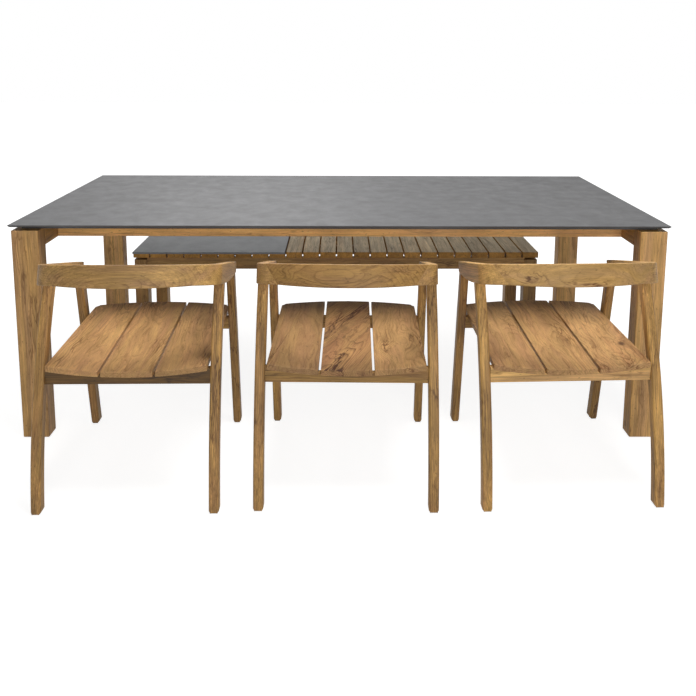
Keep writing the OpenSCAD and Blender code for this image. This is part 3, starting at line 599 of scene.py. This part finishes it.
def scarf_keeper(chair):
    """Keeps the edges of the two long sloping joints of a chair's back sharp, as they're glued flush."""
    back = bmesh.new()
    back.from_mesh(nodes[chair + "_back"].data)
    planes = []
    for side in (-1, 1):
        # A joint's face is the largest that slants outwards by this share and hardly forwards
        faces = [f for f in back.faces if 0.7 < side * f.normal.x < 0.93 and abs(f.normal.y) < 0.45]
        best = max(faces, key=lambda f: f.calc_area())
        planes.append((best.calc_center_median().copy(), best.normal.copy()))
    back.free()
    return lambda edge: any(all(abs((v.co - point).dot(normal)) < 0.2 * MM for v in edge.verts)
                            for point, normal in planes)


# Each back was sawn from a plank whose heart lay this far behind it and this far above its middle, so its
# rings make long ellipses on the rear face
HEART_BEHIND = 0.05
HEART_ABOVE = {"left_chair": -0.012, "middle_chair": 0.002, "right_chair": 0.02}

for number, chair in enumerate(CHAIRS):
    turn = turn_of(chair)
    seed = 40 * (number + 1)
    on_joint = scarf_keeper(chair)
    low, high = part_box(chair + "_back")
    behind = -(high.y - low.y) / 2 - HEART_BEHIND
    wooden(chair + "_back", chair, "teak_chair", BENT_EDGE, turn=turn, seed=seed, keep=on_joint,
           heart_at=(0, behind, HEART_ABOVE[chair]))
    for k, side in enumerate(("left", "right")):
        wooden(f"{chair}_{side}_arm", chair, "teak_chair", BENT_EDGE, lean=ARM_LEAN, turn=turn,
               seed=seed + 1 + k, keep=on_joint)
        wooden(f"{chair}_{side}_rear_leg", chair, "teak_chair", LEG_EDGE, lean=REAR_LEG_LEAN, turn=turn,
               seed=seed + 3 + k, keep=above(REAR_LEG_SHOULDER), batch="teak_leg")
        wooden(f"{chair}_{side}_front_leg", chair, "teak_chair", LEG_EDGE, lean=FRONT_LEG_LEAN, turn=turn,
               seed=seed + 5 + k, keep=above(FRONT_LEG_SHOULDER), batch="teak_leg")
    for k, row in enumerate(("rear", "front")):
        wooden(f"{chair}_{row}_rail", chair, "teak_chair", LEG_EDGE, turn=turn, seed=seed + 7 + k,
               batch="teak_leg")
    for k, place in enumerate(("left", "middle", "right")):
        wooden(f"{chair}_{place}_board", chair, "teak_seat", BOARD_EDGE, turn=turn, seed=seed + 9 + k)

for k, name in enumerate(("near_left", "near_right", "far_left", "far_right")):
    wooden("table_leg_" + name, "table", "teak_table", TABLE_EDGE, seed=200 + k)
for k, name in enumerate(("end_apron_left", "end_apron_right", "long_rail_near", "long_rail_far")):
    wooden(name, "table", "teak_table", TABLE_EDGE, seed=210 + k)

wooden("bench_slats", "bench", "teak_bench", SLAT_EDGE, turn=turn_of("bench"), seed=220)
for k, name in enumerate(("bench_rails", "bench_legs")):
    wooden(name, "bench", "teak_bench_frame", BENCH_EDGE, turn=turn_of("bench"), seed=230 + k)


# ---------------------------------------------------------------- ceramic, metal and plastic pieces

def slab(node, body, slot):
    """A ceramic slab with its edges honed."""
    shape = whole_shape(node)
    bmesh.ops.bevel(shape, geom=shape.edges[:], offset=SLAB_EDGE * MM, offset_type="OFFSET", affect="EDGES",
                    segments=2, profile=0.5, material=-1)
    stand_in(shape, node + "_slab", node, body, FINISHES[slot])


def dress(node, slot):
    """A CAD piece whose shape is right as it is gets its finish."""
    nodes[node].data.materials.clear()
    nodes[node].data.materials.append(FINISHES[slot])


slab("table_top", "table", "ceramic_top")
slab("bench_panel", "bench", "ceramic_panel")
for name in ("top_long_bars", "top_cross_bars"):
    dress(name, "dark_metal")
for name in ["table_glides", "bench_glides"] + [chair + "_glides" for chair in CHAIRS]:
    dress(name, "black_plastic")
for chair in CHAIRS:
    dress(chair + "_screws", "screw_steel")


# ---------------------------------------------------------------- floor, light and camera

def seen_directly(tree):
    """1 where the camera sees a thing, also in a reflection or through glass; 0 for the light it gives."""
    rays = add(tree, "LightPath").outputs
    seen = add(tree, "Math", {0: rays["Is Camera Ray"], 1: rays["Is Glossy Ray"]},
               operation="MAXIMUM").outputs[0]
    return add(tree, "Math", {0: seen, 1: rays["Is Transmission Ray"]}, operation="MAXIMUM").outputs[0]


def plain_white(name, near_glow, near, far):
    """White where it is seen directly, otherwise a pale floor. Up to the distance near its glow is a little
    below white, so that it keeps the set's shadow; from the distance far on it meets the white background."""
    material, tree, surface = new_material(name)
    surface.inputs["Base Color"].default_value = linear("#b4b4b3")
    surface.inputs["Roughness"].default_value = 0.9
    place = add(tree, "TexCoord").outputs["Object"]
    away = add(tree, "VectorMath", {0: place}, operation="LENGTH").outputs["Value"]
    level = add(tree, "MapRange", {"Value": away, "From Min": near, "From Max": far,
                                   "To Min": near_glow, "To Max": 1.0},
                interpolation_type="SMOOTHSTEP").outputs[0]
    glow = add(tree, "Emission", {"Color": "#ffffff", "Strength": level}).outputs[0]
    lit = add(tree, "AddShader", {0: surface.outputs[0], 1: glow}).outputs[0]
    mixed = add(tree, "MixShader", {0: seen_directly(tree), 1: surface.outputs[0], 2: lit}).outputs[0]
    tree.links.new(mixed, tree.nodes["Material Output"].inputs["Surface"])
    return material


FLOOR_REACH = 14
floor_mesh = bpy.data.meshes.new("floor")
floor_shape = bmesh.new()
bmesh.ops.create_grid(floor_shape, x_segments=1, y_segments=1, size=FLOOR_REACH)
floor_shape.to_mesh(floor_mesh)
floor_shape.free()
floor = in_scene("floor", floor_mesh)
floor_mesh.materials.append(plain_white("pale_floor", near_glow=0.86, near=1.5, far=3.0))
floor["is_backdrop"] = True

# The world is white where it is seen directly, and lights the set only this much
SKY_LIGHT = 0.15
world = bpy.context.scene.world or bpy.data.worlds.new("studio")
bpy.context.scene.world = world
world.use_nodes = True
sky = world.node_tree
sky_level = add(sky, "MapRange", {"Value": seen_directly(sky),
                                  "To Min": SKY_LIGHT, "To Max": 1.0}).outputs[0]
sky.links.new(sky_level, sky.nodes["Background"].inputs["Strength"])
sky.nodes["Background"].inputs["Color"].default_value = linear("#ffffff")


def soft_box(name, place, target, size, watts):
    """A square studio lamp that faces a point of the set."""
    data = bpy.data.lights.new(name, "AREA")
    data.shape = "SQUARE"
    data.size = size
    data.energy = watts
    made = in_scene(name, data)
    made.location = place
    made.rotation_euler = (Vector(target) - Vector(place)).to_track_quat("-Z", "Y").to_euler()


set_middle = (0, 0, 0.45)
soft_box("top_soft_box", place=(0.35, -0.55, 3.2), target=(0.1, -0.5, 0.45), size=1.4, watts=80)
soft_box("rear_left_soft_box", place=(-0.8, 2.6, 2.8), target=set_middle, size=1.8, watts=26)
soft_box("front_soft_box", place=(0.8, -7.0, 1.1), target=set_middle, size=3.6, watts=200)

camera = in_scene("camera", bpy.data.cameras.new("camera"))
bpy.context.scene.camera = camera
camera.data.lens = 35.25
camera.data.sensor_width = 36
# The view is shifted down to keep uprights upright; the camera's own turn does the rest
camera.data.shift_y = -0.30
camera_place = (0.009, -2.545, 1.333)
look_down = math.radians(7.55)
look_right = math.radians(0.39)
roll = math.radians(0.21)
camera.matrix_world = (Matrix.Translation(camera_place) @ Matrix.Rotation(-look_right, 4, "Z")
                       @ Matrix.Rotation(math.pi / 2 - look_down, 4, "X") @ Matrix.Rotation(roll, 4, "Z"))

bpy.context.scene.view_settings.view_transform = "Standard"

low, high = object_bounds()
